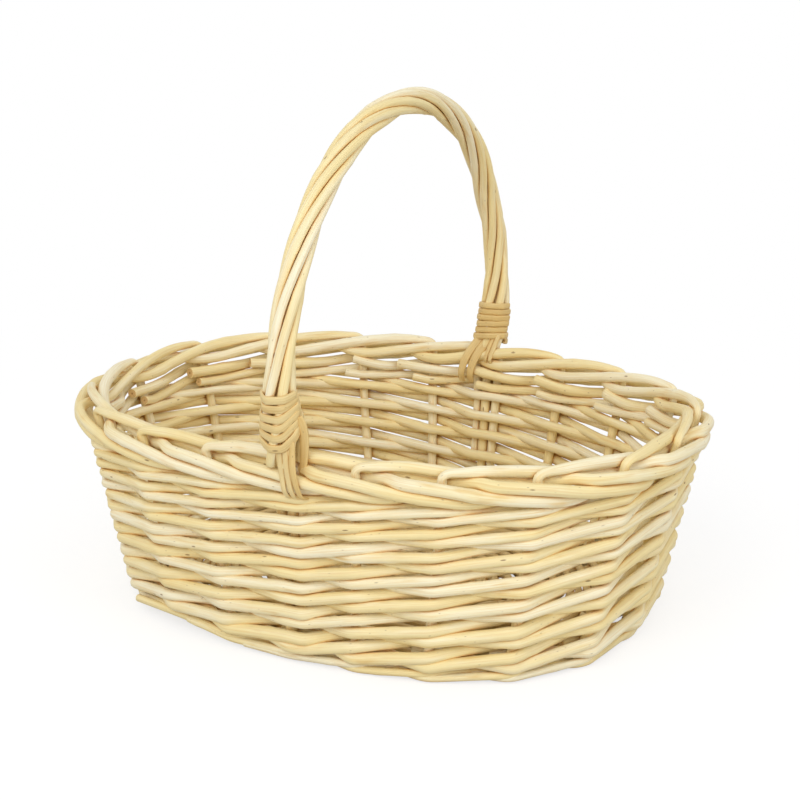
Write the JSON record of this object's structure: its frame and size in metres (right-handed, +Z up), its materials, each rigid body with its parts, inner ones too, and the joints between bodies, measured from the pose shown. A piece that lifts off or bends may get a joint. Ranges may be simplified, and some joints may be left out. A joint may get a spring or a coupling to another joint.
{
  "type": "oval willow hand basket",
  "caption": "Oval basket of peeled willow with a woven wall, a plaited border and a fixed hoop handle of twisted rods, bound at both feet.",
  "frame": {"origin": "centre of the basket's box on the surface that it stands on", "axes": "+X along the oval's long axis, +Y across it from the front handle foot to the rear one, +Z up"},
  "size_m": [0.4202, 0.3395, 0.3336],
  "materials": {
    "peeled_willow": "peeled willow rods, pale straw, satin",
    "willow_skein": "split willow skein, pale straw, satin",
    "base_willow": "peeled willow rods of the base, straw, matt"
  },
  "bodies": {
    "root": {"stake_01": "peeled_willow", "stake_02": "peeled_willow", "stake_03": "peeled_willow", "stake_04": "peeled_willow", "stake_05": "peeled_willow", "stake_06": "peeled_willow", "stake_07": "peeled_willow", "stake_08": "peeled_willow", "stake_09": "peeled_willow", "stake_10": "peeled_willow", "stake_11": "peeled_willow", "stake_12": "peeled_willow", "stake_13": "peeled_willow", "stake_14": "peeled_willow", "stake_15": "peeled_willow", "stake_16": "peeled_willow", "stake_17": "peeled_willow", "stake_18": "peeled_willow", "stake_19": "peeled_willow", "stake_20": "peeled_willow", "wall_rod_01": "peeled_willow", "wall_rod_02": "peeled_willow", "wall_rod_03": "peeled_willow", "wall_rod_04": "peeled_willow", "wall_rod_05": "peeled_willow", "wall_rod_06": "peeled_willow", "wall_rod_07": "peeled_willow", "wall_rod_08": "peeled_willow", "wall_rod_09": "peeled_willow", "wall_rod_10": "peeled_willow", "wall_rod_11": "peeled_willow", "wall_rod_12": "peeled_willow", "wall_rod_13": "peeled_willow", "wall_rod_14": "peeled_willow", "wall_rod_15": "peeled_willow", "wall_rod_16": "peeled_willow", "wall_rod_17": "peeled_willow", "wall_rod_18": "peeled_willow", "wall_rod_19": "peeled_willow", "wall_rod_20": "peeled_willow", "handle_bow": "peeled_willow", "handle_strand_1": "peeled_willow", "handle_strand_2": "peeled_willow", "handle_strand_3": "peeled_willow", "handle_strand_4": "peeled_willow", "handle_strand_5": "peeled_willow", "handle_strand_6": "peeled_willow", "binding_front": "willow_skein", "binding_rear": "willow_skein", "tie_front": "willow_skein", "tie_rear": "willow_skein", "base_short_stick_1": "base_willow", "base_short_stick_2": "base_willow", "base_short_stick_3": "base_willow", "base_long_stick_1": "base_willow", "base_long_stick_2": "base_willow", "base_long_stick_3": "base_willow", "base_weaver_1": "base_willow", "base_weaver_2": "base_willow"}
  },
  "joints": []
}
